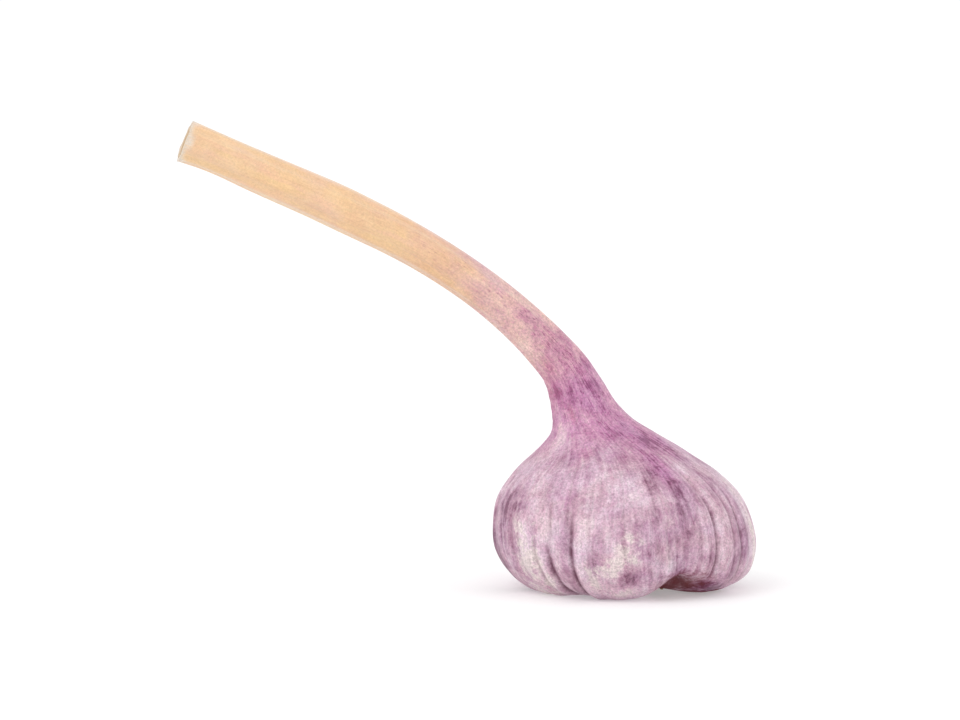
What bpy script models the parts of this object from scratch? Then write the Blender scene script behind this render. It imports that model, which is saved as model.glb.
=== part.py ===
"""A head of purple striped garlic with its dried stalk, standing on the low points of its cloves.

The wrapper leaves of the head run on through the neck into the stalk, so the whole plant is one grown
body. It is drawn as sections, from the root plate up to the cut end of the stalk: a can is turned, each
of its rings is carried to its section, and the cloves and folds are then pressed into the skin by
formula. Trimmed roots are joined to the root plate last.

Metres, +Z up. The surface it rests on is z = 0, the front is -Y, and the stalk leans to -X. The origin is
the middle of its footprint's box.
"""

import math
import random

import bmesh
import bpy
import numpy as np
from mathutils import Matrix, Vector, noise

MM = 0.001

# The head and its stalk: one row a section, in millimetres and degrees, with x = y = 0 above the root
# plate. A section is a ring round the body, level in the head and square to the stalk above the neck.
#    x, y and height of its middle; lean towards -X; radius
SECTIONS = (
    (0.0, 0.0, 4.4, 0.0, 9.0),  # edge of the root plate
    (0.0, 0.0, 1.8, 0.0, 12.0),
    (0.0, 0.0, 0.5, 0.0, 16.5),  # low ring that the cloves rest on
    (-0.1, 0.0, 1.4, 0.0, 22.0),
    (-0.25, 0.0, 4.5, 0.0, 26.45),
    (-0.95, 0.0, 9.9, 0.0, 28.85),  # widest part
    (-1.45, 0.0, 15.4, 0.0, 28.65),
    (-2.1, 0.0, 20.8, 0.0, 27.0),
    (-2.8, 0.0, 25.9, 0.0, 22.7),
    (-4.2, 0.0, 30.5, 1.0, 16.4),  # shoulder
    (-6.5, 0.0, 33.7, 5.5, 11.8),
    (-8.2, 0.0, 36.3, 11.0, 8.8),
    (-9.6, 0.0, 38.8, 20.0, 7.3),  # neck
    (-11.3, 0.0, 42.8, 34.0, 6.4),
    (-14.0, -0.2, 48.7, 37.0, 5.2),
    (-18.0, -0.5, 53.4, 42.5, 4.85),
    (-28.4, -1.5, 63.2, 47.0, 4.4),  # stalk
    (-43.3, -3.2, 73.6, 58.0, 4.4),
    (-60.0, -5.4, 82.4, 63.5, 4.6),
    (-79.4, -8.4, 91.15, 67.0, 4.35),
    (-89.9, -10.4, 95.8, 67.8, 4.25),
    (-94.6, -11.2, 97.6, 68.0, 4.5),  # cut end
)
RINGS_PER_SECTION = 2.35
SIDES = 96

# The root plate under the head: share of its edge's radius, and height above the table.
ROOT_PLATE = ((0.0, 2.2), (0.92, 2.4))
# The cut end, from the sheath's rim to the pith: share of the radius, and how far it is sunk.
CUT_FACE = ((0.86, 0.0), (0.80, 0.9), (0.72, 0.1), (0.0, 0.4))

# Valleys between the six cloves: degrees from the front, depth where they are deepest, half width.
# Degrees from the front grow towards +X everywhere in this file.
VALLEYS = (
    (-33.0, 1.2, 8.0),
    (27.5, 4.5, 13.5),
    (104.0, 2.6, 9.0),
    (160.0, 3.0, 10.0),
    (212.0, 2.6, 9.0),
    (263.0, 2.2, 9.0),
)
VALLEY_OPENS = (2.0, 10.0)  # along the skin from the root plate, mm
VALLEY_CLOSES = (8.0, 62.0)
VALLEY_TAPER = 1.6  # above 1, a valley grows shallow sooner on its way up
# The hollow under the head where the widest valley ends: degrees from the front, half width, middle and
# half length along the skin, depth.
BASE_HOLLOW = (28.0, 11.0, 13.0, 6.0, 1.6)

# The cloves between those valleys: degrees from the front of the middle, and how high the lowest point
# is before it is pressed flat. The head stands on all six, and a lifted one rests on a smaller flat.
CLOVES = (
    (0.5, 0.0),
    (69.0, 0.3),
    (132.0, 0.0),
    (186.0, 0.1),
    (237.5, 0.0),
    (295.0, 0.0),
)
CLOVE_FOOT_SPAN = 18.0  # degrees to each side of the middle in which the lowest point is looked for
CLOVE_FOOT_STARTS = (0.0, 8.0)  # the part of a clove that is let down or lifted, mm along the skin
CLOVE_FOOT_ENDS = (14.0, 34.0)

# Every line on the skin follows a strand. A strand's direction wanders a little on its way up, in waves
# round the head, and twists slowly along the stalk.
WANDER_WAVES = ((2, 11.0, 1.3), (5, -6.5, 0.8))  # waves to a turn, mm along the skin to a radian, degrees
WANDER_STARTS = (4.0, 14.0)
TWIST, TWIST_SPAN = 14.0, (55.0, 150.0)

# Folds that the drying skin draws into lines: strand in degrees, depth, first and last distance.
FRONT_FOLDS = (
    (-66.0, 0.20, 8.0, 36.0),
    (-55.5, 0.25, 8.0, 38.0),
    (-43.6, 0.40, 5.0, 36.0),
    (-35.6, 0.55, 5.0, 36.0),
    (-27.0, 0.25, 40.0, 66.0),
    (-24.6, 0.60, 5.0, 42.0),
    (-13.4, 0.20, 6.0, 32.0),
    (19.0, 0.20, 22.0, 50.0),
    (33.5, 0.25, 22.0, 48.0),
    (41.5, 0.60, 9.0, 52.0),
    (52.0, 0.30, 24.0, 50.0),
    (60.0, 0.50, 8.0, 44.0),
    (70.0, 0.35, 10.0, 46.0),
    (81.0, 0.30, 10.0, 46.0),
)
# The folds of the back are drawn at random between these limits.
BACK_FOLDS = (94.0, 286.0)  # strands of the first and the last
BACK_FOLD_STEP = (9.0, 17.0)
BACK_FOLD_DEPTH = (0.25, 0.6)
BACK_FOLD_FIRST, BACK_FOLD_LAST = (4.0, 9.0), (34.0, 58.0)
FOLD_SEED = 7
FOLD_HALF_WIDTH = 3.0
FOLD_FADE_IN, FOLD_FADE_OUT = 6.0, 10.0  # mm along the skin

# Broad unevenness of the skin, and the shallow flutes of the stalk.
SWELL_SIZE, SWELL_HEIGHT = 13.0, 0.35
SWELL_STARTS, SWELL_WANES, SWELL_ON_STALK = (0.0, 8.0), (50.0, 70.0), 0.3
FLUTES, FLUTE_HEIGHT, FLUTES_START = 9, 0.14, (52.0, 75.0)

FLAT_DEPTH = 0.4  # how far the low points are pressed flat, which gives the resting faces

# Trimmed roots: rows on the root plate, as (count, distance from its middle), and each root's size.
ROOT_ROWS = ((15, 6.4), (8, 3.4))
ROOT_FOOT_RADIUS, ROOT_TIP_RADIUS = 0.62, 0.36
ROOT_LENGTH, ROOT_SUNK, ROOT_SIDES = (1.0, 1.5), 0.9, 5
ROOT_STRAY = 0.25  # of the step to the next root
ROOT_SPLAY = 16.0  # degrees outwards
ROOT_SEED = 3

SHORT_STEP, SHORT_TURN = 0.5, 0.5  # mm and degrees, for measuring slopes of the skin

SKIN_COLOUR = (0.604, 0.387, 0.484, 1.0)
SKIN_ROUGHNESS = 0.5


def smooth_step(low, high, value):
    share = np.clip((value - low) / (high - low), 0.0, 1.0)
    return share * share * (3.0 - 2.0 * share)


def degrees_between(angle, other):
    """How far apart two directions round the head are, from -180 to 180."""
    return (angle - other + 180.0) % 360.0 - 180.0


def knots_of(sections):
    """Distance along the skin to each section, in millimetres: the mean of its -X side's and +X side's."""
    x, _, z, lean, radius = np.array(sections).T
    across = radius * np.cos(np.radians(lean))
    rise = radius * np.sin(np.radians(lean))
    steps = [
        np.hypot(np.diff(x + side * across), np.diff(z + side * rise)) for side in (-1, 1)
    ]
    return np.concatenate([[0.0], np.cumsum((steps[0] + steps[1]) / 2)])


KNOTS = knots_of(SECTIONS)


def section_at(reach):
    """The section at each distance along the skin, smoothly between the rows of SECTIONS."""
    values = np.array(SECTIONS)
    slopes = np.gradient(values, KNOTS, axis=0)
    left = np.clip(np.searchsorted(KNOTS, reach, side="right") - 1, 0, len(KNOTS) - 2)
    span = (KNOTS[left + 1] - KNOTS[left])[:, None]
    share = (reach - KNOTS[left])[:, None] / span
    return (
        (2 * share**3 - 3 * share**2 + 1) * values[left]
        + (share**3 - 2 * share**2 + share) * span * slopes[left]
        + (3 * share**2 - 2 * share**3) * values[left + 1]
        + (share**3 - share**2) * span * slopes[left + 1]
    )


def ring_axes(reach):
    """(middle, +X direction, direction to the back, normal) of the section at each distance."""
    section = section_at(reach)
    ahead = section_at(np.minimum(reach + SHORT_STEP, KNOTS[-1]))
    behind = section_at(np.maximum(reach - SHORT_STEP, KNOTS[0]))
    run = ahead[:, :3] - behind[:, :3]
    forward = np.arctan2(run[:, 1], np.hypot(run[:, 0], run[:, 2]) + 1e-9)
    lean = np.radians(section[:, 3])
    zero = np.zeros_like(lean)
    across = np.stack([np.cos(lean), zero, np.sin(lean)], axis=1)
    normal = np.stack(
        [
            -np.sin(lean) * np.cos(forward),
            np.sin(forward),
            np.cos(lean) * np.cos(forward),
        ],
        axis=1,
    )
    return section[:, :3], across, np.cross(normal, across), normal


def smooth_skin(reach, angle):
    """The plain body before anything is pressed into it, in millimetres."""
    middle, across, back, _ = ring_axes(reach)
    radius = section_at(reach)[:, 4:5]
    turn = np.radians(angle)[:, None]
    return middle + radius * (np.sin(turn) * across - np.cos(turn) * back)


def skin_normal(reach, angle):
    """Which way the plain body faces, from two short steps on it."""
    near = np.maximum(reach - SHORT_STEP, KNOTS[0])
    far = np.minimum(reach + SHORT_STEP, KNOTS[-1])
    along = smooth_skin(far, angle) - smooth_skin(near, angle)
    around = smooth_skin(reach, angle + SHORT_TURN) - smooth_skin(reach, angle - SHORT_TURN)
    normal = np.cross(around, along)
    return normal / np.linalg.norm(normal, axis=1)[:, None]


def strand_angle(reach, angle):
    """The direction that a strand through each point would have at the root plate, nearly."""
    turn = np.radians(angle)
    wander = sum(size * np.sin(waves * turn + reach / run) for waves, run, size in WANDER_WAVES)
    twist = TWIST * smooth_step(*TWIST_SPAN, reach)
    return angle + wander * smooth_step(*WANDER_STARTS, reach) + twist


def fold_list():
    """The folds of the front, chosen one by one, and those of the back, drawn at random."""
    draw = random.Random(FOLD_SEED)
    folds = list(FRONT_FOLDS)
    angle, last_angle = BACK_FOLDS
    while angle < last_angle:
        depth = draw.uniform(*BACK_FOLD_DEPTH)
        first = draw.uniform(*BACK_FOLD_FIRST)
        folds.append((angle, depth, first, draw.uniform(*BACK_FOLD_LAST)))
        angle += draw.uniform(*BACK_FOLD_STEP)
    return folds


def relief(reach, angle):
    """How far the skin stands out from the plain body, in millimetres: mostly inwards, so negative."""
    strand = strand_angle(reach, angle)
    opened = smooth_step(*VALLEY_OPENS, reach)
    opened *= (1 - smooth_step(*VALLEY_CLOSES, reach)) ** VALLEY_TAPER
    height = np.zeros_like(reach)
    for middle, depth, half_width in VALLEYS:
        height -= depth * opened / (1 + (degrees_between(angle, middle) / half_width) ** 2)
    middle, half_width, reach_middle, half_length, depth = BASE_HOLLOW
    across = degrees_between(angle, middle) / half_width
    height -= depth * np.exp(-(across**2) - ((reach - reach_middle) / half_length) ** 2)
    for middle, depth, first, last in fold_list():
        shown = smooth_step(first, first + FOLD_FADE_IN, reach)
        shown *= 1 - smooth_step(last - FOLD_FADE_OUT, last, reach)
        height -= depth * shown * np.exp(-((degrees_between(strand, middle) / FOLD_HALF_WIDTH) ** 2))
    fluted = smooth_step(*FLUTES_START, reach)
    height += FLUTE_HEIGHT * fluted * np.cos(np.radians(FLUTES * strand))
    return height


def swell(points, reach):
    """A slow unevenness of the skin, left out at both ends so that they meet their caps."""
    raised = smooth_step(*SWELL_STARTS, reach)
    raised *= 1 - (1 - SWELL_ON_STALK) * smooth_step(*SWELL_WANES, reach)
    lumps = np.array([noise.noise(Vector(point) / SWELL_SIZE) for point in points])
    return SWELL_HEIGHT * raised * lumps


def body_points(reach, angle):
    plain = smooth_skin(reach, angle)
    height = relief(reach, angle) + swell(plain, reach)
    return plain + height[:, None] * skin_normal(reach, angle)


def let_down(points, reach, angle):
    """Lowers or lifts each clove until its lowest point is as high as CLOVES says."""
    middles = [middle for middle, _ in CLOVES]
    lifts = []
    for middle, height in CLOVES:
        foot = np.abs(degrees_between(angle, middle)) < CLOVE_FOOT_SPAN
        lifts.append(height - points[foot, 2].min())
    share = smooth_step(*CLOVE_FOOT_STARTS, reach) * (1 - smooth_step(*CLOVE_FOOT_ENDS, reach))
    points[:, 2] += share * np.interp(angle, middles, lifts, period=360.0)


def ring_reaches():
    """The distance of each ring: closer together where the sections are."""
    places = np.linspace(0, len(KNOTS) - 1, round(RINGS_PER_SECTION * (len(KNOTS) - 1)) + 1)
    return np.interp(places, np.arange(len(KNOTS)), KNOTS)


def turned_can(ring_count):
    """A can turned about Z, one unit between rings, closed by a point at the bottom and at the top."""
    can = bmesh.new()
    last = ring_count - 1
    profile = [can.verts.new((float(0 < ring < last), 0.0, ring)) for ring in range(ring_count)]
    edges = [can.edges.new(pair) for pair in zip(profile, profile[1:])]
    bmesh.ops.spin(
        can, geom=profile + edges, axis=(0, 0, 1), angle=math.tau, steps=SIDES, use_merge=True
    )
    bmesh.ops.remove_doubles(can, verts=can.verts, dist=1e-4)
    bmesh.ops.recalc_face_normals(can, faces=can.faces)
    return can


def shaped_points(ring, angle, reaches):
    """Where the can's points go, in millimetres: ring numbers count root plate, body, then cut face."""
    first, last = len(ROOT_PLATE), len(ROOT_PLATE) + len(reaches) - 1
    reach = reaches[np.clip(ring, first, last) - first]
    points = body_points(reach, angle)
    middle, _, _, normal = ring_axes(reach)
    for number, (share, sunk) in enumerate(CUT_FACE, start=last + 1):
        here = ring == number
        inset = middle[here] + share * (points[here] - middle[here])
        points[here] = inset - sunk * normal[here]
    points[:, 2] -= points[:, 2].min()
    let_down(points, reach, angle)
    points[:, 2] = np.maximum(points[:, 2] - FLAT_DEPTH, 0.0)
    for number, (share, height) in enumerate(ROOT_PLATE):
        here = ring == number
        points[here] *= [share, share, 0.0]
        points[here] += [0.0, 0.0, height]
    return points


def plant_body():
    """The head, neck and stalk as one mesh, and the shift in millimetres to the origin's frame."""
    reaches = ring_reaches()
    can = turned_can(len(ROOT_PLATE) + len(reaches) + len(CUT_FACE))
    blank = np.array([vertex.co for vertex in can.verts])
    ring = np.rint(blank[:, 2]).astype(int)
    angle = np.degrees(np.arctan2(blank[:, 0], -blank[:, 1]))
    points = shaped_points(ring, angle, reaches)
    middle = (points.min(axis=0) + points.max(axis=0)) / 2
    shift = Vector((-middle[0], -middle[1], 0.0))
    for vertex, point in zip(can.verts, points):
        vertex.co = (Vector(point) + shift) * MM
    mesh = bpy.data.meshes.new("garlic_bulb")
    can.to_mesh(mesh)
    can.free()
    return mesh, shift


def trimmed_root(place, outwards, length):
    """One root's stub, a slim cone of a few sides that points down and a little outwards."""
    stub = bmesh.new()
    bmesh.ops.create_cone(
        stub,
        cap_ends=True,
        segments=ROOT_SIDES,
        radius1=ROOT_TIP_RADIUS * MM,
        radius2=ROOT_FOOT_RADIUS * MM,
        depth=(length + ROOT_SUNK) * MM,
    )
    splay = Matrix.Rotation(math.radians(ROOT_SPLAY), 4, Vector((-outwards.y, outwards.x, 0.0)))
    middle = Vector((0.0, 0.0, (ROOT_SUNK - length) / 2 * MM))
    seat = Matrix.Translation(place) @ splay @ Matrix.Translation(middle)
    bmesh.ops.transform(stub, matrix=seat, verts=stub.verts)
    mesh = bpy.data.meshes.new("root")
    stub.to_mesh(mesh)
    stub.free()
    return mesh


def add_trimmed_roots(head, shift):
    """Two rows of trimmed roots on the root plate, joined to the head by one Boolean union."""
    draw = random.Random(ROOT_SEED)
    roots = bpy.data.collections.new("roots")
    bpy.context.scene.collection.children.link(roots)
    plate_height = ROOT_PLATE[1][1]
    for count, distance in ROOT_ROWS:
        for number in range(count):
            turn = math.tau * (number + draw.uniform(-ROOT_STRAY, ROOT_STRAY)) / count
            outwards = Vector((math.cos(turn), math.sin(turn), 0.0))
            place = (Vector((shift.x, shift.y, plate_height)) + outwards * distance) * MM
            mesh = trimmed_root(place, outwards, draw.uniform(*ROOT_LENGTH))
            roots.objects.link(bpy.data.objects.new("root", mesh))
    union = head.modifiers.new("roots", "BOOLEAN")
    union.operation = "UNION"
    union.operand_type = "COLLECTION"
    union.collection = roots
    bpy.context.view_layer.update()
    graph = bpy.context.evaluated_depsgraph_get()
    head.data = bpy.data.meshes.new_from_object(head.evaluated_get(graph))
    head.modifiers.clear()
    for root in list(roots.objects):
        bpy.data.objects.remove(root)
    bpy.data.collections.remove(roots)


def skin_material():
    material = bpy.data.materials.new("garlic_skin")
    material.use_nodes = True
    shader = material.node_tree.nodes["Principled BSDF"]
    shader.inputs["Base Color"].default_value = SKIN_COLOUR
    shader.inputs["Roughness"].default_value = SKIN_ROUGHNESS
    shader.inputs["Metallic"].default_value = 0.0
    return material


def main():
    for old in list(bpy.data.objects):
        bpy.data.objects.remove(old)
    garlic = bpy.data.collections.new("garlic")
    bpy.context.scene.collection.children.link(garlic)
    mesh, shift = plant_body()
    head = bpy.data.objects.new("garlic_bulb", mesh)
    garlic.objects.link(head)
    add_trimmed_roots(head, shift)
    head.data.materials.clear()
    head.data.materials.append(skin_material())
    head.data.shade_smooth()
    head.data.set_sharp_from_angle(angle=math.radians(50.0))


main()
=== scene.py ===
# %% [markdown]
# # A head of purple striped garlic with its dried stalk
#
# The CAD body is the fixed frame: one grown body, 101 mm tall, that stands on the low points of its
# cloves. This notebook gives it the fine skin, the corky root plate with its trimmed roots, and the cut end
# of the stalk. Each step says what the real thing is, how it could be made, and why this way was chosen.

import math
import random

import bmesh
import bpy
import numpy as np
from mathutils import Matrix, Vector, noise


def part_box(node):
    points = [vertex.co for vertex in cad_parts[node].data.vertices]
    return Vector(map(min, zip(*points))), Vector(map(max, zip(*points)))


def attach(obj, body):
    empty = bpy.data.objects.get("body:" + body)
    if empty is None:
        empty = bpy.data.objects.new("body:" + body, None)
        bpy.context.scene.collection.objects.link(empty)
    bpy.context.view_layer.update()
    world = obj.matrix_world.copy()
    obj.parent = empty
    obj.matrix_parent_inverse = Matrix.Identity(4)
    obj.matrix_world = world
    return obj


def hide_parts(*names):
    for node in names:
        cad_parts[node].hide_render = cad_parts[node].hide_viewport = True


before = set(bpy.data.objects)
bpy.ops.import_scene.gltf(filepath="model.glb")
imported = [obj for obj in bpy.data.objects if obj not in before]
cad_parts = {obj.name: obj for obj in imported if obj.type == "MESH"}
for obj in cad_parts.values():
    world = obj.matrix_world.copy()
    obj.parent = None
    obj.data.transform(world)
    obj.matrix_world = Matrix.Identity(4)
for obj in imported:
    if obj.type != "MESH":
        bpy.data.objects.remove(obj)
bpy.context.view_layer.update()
MM = 0.001
BULB_LOW, BULB_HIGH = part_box("garlic_bulb")
BULB_MIDDLE = (BULB_LOW + BULB_HIGH) / 2
print("bulb and stalk, mm:", [round(side / MM, 1) for side in BULB_HIGH - BULB_LOW])

# %% [markdown]
# ## The camera
#
# A still life of produce is taken with a long lens from just above the table, so that the head keeps its
# true outline. The camera aims at the middle of the body, and looks down by a few degrees.

# %% Camera
CAMERA_RISE = math.radians(4.0)
CAMERA_DISTANCE = 0.683
CAMERA_LENS = 118.9
AIM = BULB_MIDDLE + Vector((0.0022, 0.0, -0.0011))

towards_camera = Vector((0.0, -math.cos(CAMERA_RISE), math.sin(CAMERA_RISE)))
camera_data = bpy.data.cameras.new("camera")
camera_data.lens = CAMERA_LENS
camera_data.clip_start, camera_data.clip_end = 0.01, 20.0
camera = bpy.data.objects.new("camera", camera_data)
camera.location = AIM + towards_camera * CAMERA_DISTANCE
camera.rotation_euler = (-towards_camera).to_track_quat("-Z", "Y").to_euler()
bpy.context.scene.collection.objects.link(camera)
bpy.context.scene.camera = camera
print("camera at, mm:", [round(value / MM) for value in camera.location])

# %% [markdown]
# ## Small helpers for nodes
#
# A material is a tree of nodes. Typing every link by hand makes long, dull code, so small helpers do it.
# One adds a node and fills its sockets with values or links. The others name what is needed most, such as a
# mix of two colours or a product, and find out from the sockets they are given which tree they work in.

# %% Node helpers
def add_node(tree, kind, inputs=None, **settings):
    """A new node. A socket's value may be a number, a colour or the output of another node."""
    node = tree.nodes.new(kind)
    for name, value in settings.items():
        setattr(node, name, value)
    for socket, value in (inputs or {}).items():
        if isinstance(value, bpy.types.NodeSocket):
            tree.links.new(value, node.inputs[socket])
        else:
            node.inputs[socket].default_value = value
    return node


def tree_of(*values):
    """The tree of the first of these values that is a socket."""
    return next(value.id_data for value in values if isinstance(value, bpy.types.NodeSocket))


def mix_colour(share, first, second, mode="MIX"):
    tree, sockets = tree_of(share, first), {0: share, 6: first, 7: second}
    return add_node(tree, "ShaderNodeMix", sockets, data_type="RGBA", blend_type=mode).outputs[2]


def maths(operation, first, second):
    tree, sockets = tree_of(first, second), {0: first, 1: second}
    return add_node(tree, "ShaderNodeMath", sockets, operation=operation).outputs[0]


def product(first, second):
    return maths("MULTIPLY", first, second)


def between(value, low, high, start=0.0, end=1.0):
    """Spreads a value from low..high over start..end with soft ends."""
    tree, sockets = tree_of(value), {"Value": value, 1: low, 2: high, 3: start, 4: end}
    return add_node(tree, "ShaderNodeMapRange", sockets, interpolation_type="SMOOTHSTEP").outputs[0]


def srgb(red, green, blue):
    """A colour as screens give it, 0 to 255, in the linear values that sockets take."""
    linear = []
    for value in (red / 255, green / 255, blue / 255):
        linear.append(value / 12.92 if value <= 0.04045 else ((value + 0.055) / 1.055) ** 2.4)
    return (*linear, 1.0)


def painted(tree, name, output="Fac"):
    """What was painted on the points of the mesh under this name."""
    return add_node(tree, "ShaderNodeAttribute", attribute_name=name).outputs[output]


def in_millimetres(tree):
    """The piece's own coordinates in mm, so that every size in a material is in mm too."""
    metres = add_node(tree, "ShaderNodeTexCoord").outputs["Object"]
    return add_node(tree, "ShaderNodeMapping", {"Vector": metres, "Scale": (1000, 1000, 1000)}).outputs[0]


def new_finish(name):
    """(material, its tree, its shader)."""
    finish = bpy.data.materials.new(name)
    finish.use_nodes = True
    return finish, finish.node_tree, finish.node_tree.nodes["Principled BSDF"]


def join_surface(shader, colour, roughness, height, strength):
    """Joins up the colour, the roughness, and a bump for the grain that is finer than the mesh."""
    tree = shader.id_data
    bump = add_node(tree, "ShaderNodeBump", {"Height": height, "Distance": 0.1 * MM, "Strength": strength})
    tree.links.new(colour, shader.inputs["Base Color"])
    tree.links.new(roughness, shader.inputs["Roughness"])
    tree.links.new(bump.outputs[0], shader.inputs["Normal"])


print("white is", srgb(255, 255, 255))

# %% [markdown]
# ## The table and the light
#
# The table is a plain white opal sheet, wide enough to fill the view from every side. As in a product
# shot it glows a little, as if lit from beneath, so that shadows stay faint and the underside isn't lost.
# The rest of the light is that of a light tent: a white world from all round, a broad far lamp high at the
# left front, and a weaker one at the right. Being far off, they light the sheet evenly to its end. Being
# broad, they give soft shadows, and small lamps would draw hard ones.

# %% Table
TABLE_SIZE = 40.0
TABLE_GLOW = 0.3

sheet = bmesh.new()
bmesh.ops.create_grid(sheet, x_segments=1, y_segments=1, size=TABLE_SIZE / 2)
table_mesh = bpy.data.meshes.new("table")
sheet.to_mesh(table_mesh)
sheet.free()
table = bpy.data.objects.new("table", table_mesh)
bpy.context.scene.collection.objects.link(table)
table_finish, _, table_shader = new_finish("table_white")
table_shader.inputs["Base Color"].default_value = srgb(218, 218, 218)
table_shader.inputs["Emission Color"].default_value = srgb(255, 255, 255)
table_shader.inputs["Emission Strength"].default_value = TABLE_GLOW
table_shader.inputs["Roughness"].default_value = 0.8
table_mesh.materials.append(table_finish)
print("table, m:", TABLE_SIZE)

# %% World and lamps
SKY_SEEN, SKY_LIGHT = 1.05, 0.95

world = bpy.data.worlds.new("light_tent")
bpy.context.scene.world = world
world.use_nodes = True
sky = world.node_tree
rays = add_node(sky, "ShaderNodeLightPath")
strength = add_node(sky, "ShaderNodeMix", {0: rays.outputs["Is Camera Ray"], 2: SKY_LIGHT, 3: SKY_SEEN})
background = sky.nodes["Background"]
background.inputs["Color"].default_value = (1.0, 1.0, 1.0, 1.0)
sky.links.new(strength.outputs[0], background.inputs["Strength"])


def far_lamp(name, place, spread, power):
    """A lamp so far off that it lights all alike. Its spread, in degrees, softens the shadows."""
    lamp = bpy.data.lights.new(name, "SUN")
    lamp.angle, lamp.energy = math.radians(spread), power
    holder = bpy.data.objects.new(name, lamp)
    holder.location = place
    holder.rotation_euler = (AIM - Vector(place)).to_track_quat("-Z", "Y").to_euler()
    bpy.context.scene.collection.objects.link(holder)


far_lamp("left_lamp", (-0.75, -0.75, 1.0), 40.0, 0.75)
far_lamp("right_lamp", (1.1, -0.5, 0.7), 50.0, 0.25)
bpy.context.scene.view_settings.view_transform = "Standard"
print("lamps:", [light.name for light in bpy.data.lights])

# %% [markdown]
# ## How the skin runs
#
# The wrapper leaves run from the root plate over the cloves, through the neck and on into the stalk. So the
# natural way to draw them is as rings: each row below is one ring, with the place of its middle, how far it
# leans towards the stalk's side, and its radius. They are the CAD body's own rings. Two numbers then name
# any point of the skin: its reach, which is the distance along the skin from the root plate, and its angle
# round the ring, with 0 at the front and growing towards +X.

# %% Rings of the body
#    x, y and height of the middle, mm; lean towards -X, degrees; radius, mm
SECTIONS = (
    (0.0, 0.0, 4.4, 0.0, 9.0),  # edge of the root plate
    (0.0, 0.0, 1.8, 0.0, 12.0),
    (0.0, 0.0, 0.5, 0.0, 16.5),  # low ring that the cloves rest on
    (-0.1, 0.0, 1.4, 0.0, 22.0),
    (-0.25, 0.0, 4.5, 0.0, 26.45),
    (-0.95, 0.0, 9.9, 0.0, 28.85),  # widest part
    (-1.45, 0.0, 15.4, 0.0, 28.65),
    (-2.1, 0.0, 20.8, 0.0, 27.0),
    (-2.8, 0.0, 25.9, 0.0, 22.7),
    (-4.2, 0.0, 30.5, 1.0, 16.4),  # shoulder
    (-6.5, 0.0, 33.7, 5.5, 11.8),
    (-8.2, 0.0, 36.3, 11.0, 8.8),
    (-9.6, 0.0, 38.8, 20.0, 7.3),  # neck
    (-11.3, 0.0, 42.8, 34.0, 6.4),
    (-14.0, -0.2, 48.7, 37.0, 5.2),
    (-18.0, -0.5, 53.4, 42.5, 4.85),
    (-28.4, -1.5, 63.2, 47.0, 4.4),  # stalk
    (-43.3, -3.2, 73.6, 58.0, 4.4),
    (-60.0, -5.4, 82.4, 63.5, 4.6),
    (-79.4, -8.4, 91.15, 67.0, 4.35),
    (-89.9, -10.4, 95.8, 67.8, 4.25),
    (-94.6, -11.2, 97.6, 68.0, 4.5),  # cut end
)


def knots_of(sections):
    """Reach of each ring in mm: the mean length of the -X side and the +X side up to it."""
    x, _, z, lean, radius = np.array(sections).T
    across, rise = radius * np.cos(np.radians(lean)), radius * np.sin(np.radians(lean))
    steps = [np.hypot(np.diff(x + side * across), np.diff(z + side * rise)) for side in (-1, 1)]
    return np.concatenate([[0.0], np.cumsum((steps[0] + steps[1]) / 2)])


KNOTS = knots_of(SECTIONS)
END_REACH = KNOTS[-1]
print("reach of the rings, mm:", KNOTS.round(1))

# %% Between the rings
SHORT_STEP, SHORT_TURN = 0.5, 0.5  # mm and degrees, for measuring slopes of the skin


def smooth_step(low, high, value):
    share = np.clip((value - low) / (high - low), 0.0, 1.0)
    return share * share * (3.0 - 2.0 * share)


def degrees_between(angle, other):
    return (angle - other + 180.0) % 360.0 - 180.0


def section_at(reach):
    """The ring at each reach, on a smooth curve through the rows."""
    values = np.array(SECTIONS)
    slopes = np.gradient(values, KNOTS, axis=0)
    left = np.clip(np.searchsorted(KNOTS, reach, side="right") - 1, 0, len(KNOTS) - 2)
    span = (KNOTS[left + 1] - KNOTS[left])[:, None]
    share = (reach - KNOTS[left])[:, None] / span
    return (
        (2 * share**3 - 3 * share**2 + 1) * values[left]
        + (share**3 - 2 * share**2 + share) * span * slopes[left]
        + (3 * share**2 - 2 * share**3) * values[left + 1]
        + (share**3 - share**2) * span * slopes[left + 1]
    )


def ring_axes(reach):
    """(middle, +X direction, direction to the back, normal) of the ring at each reach."""
    section = section_at(reach)
    run = section_at(np.minimum(reach + SHORT_STEP, END_REACH))[:, :3]
    run = run - section_at(np.maximum(reach - SHORT_STEP, 0.0))[:, :3]
    forward = np.arctan2(run[:, 1], np.hypot(run[:, 0], run[:, 2]) + 1e-9)
    lean = np.radians(section[:, 3])
    across = np.stack([np.cos(lean), np.zeros_like(lean), np.sin(lean)], axis=1)
    normal = [-np.sin(lean) * np.cos(forward), np.sin(forward), np.cos(lean) * np.cos(forward)]
    normal = np.stack(normal, axis=1)
    return section[:, :3], across, np.cross(normal, across), normal


def smooth_skin(reach, angle):
    """The plain body before anything is pressed into it, in mm."""
    middle, across, back, _ = ring_axes(reach)
    turn = np.radians(angle)[:, None]
    return middle + section_at(reach)[:, 4:5] * (np.sin(turn) * across - np.cos(turn) * back)


def skin_normal(reach, angle):
    """Which way the plain body faces, from two short steps on it."""
    along = smooth_skin(np.minimum(reach + SHORT_STEP, END_REACH), angle)
    along = along - smooth_skin(np.maximum(reach - SHORT_STEP, 0.0), angle)
    around = smooth_skin(reach, angle + SHORT_TURN) - smooth_skin(reach, angle - SHORT_TURN)
    normal = np.cross(around, along)
    return normal / np.linalg.norm(normal, axis=1)[:, None]


print("widest ring, mm:", section_at(KNOTS)[:, 4].max())

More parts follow.
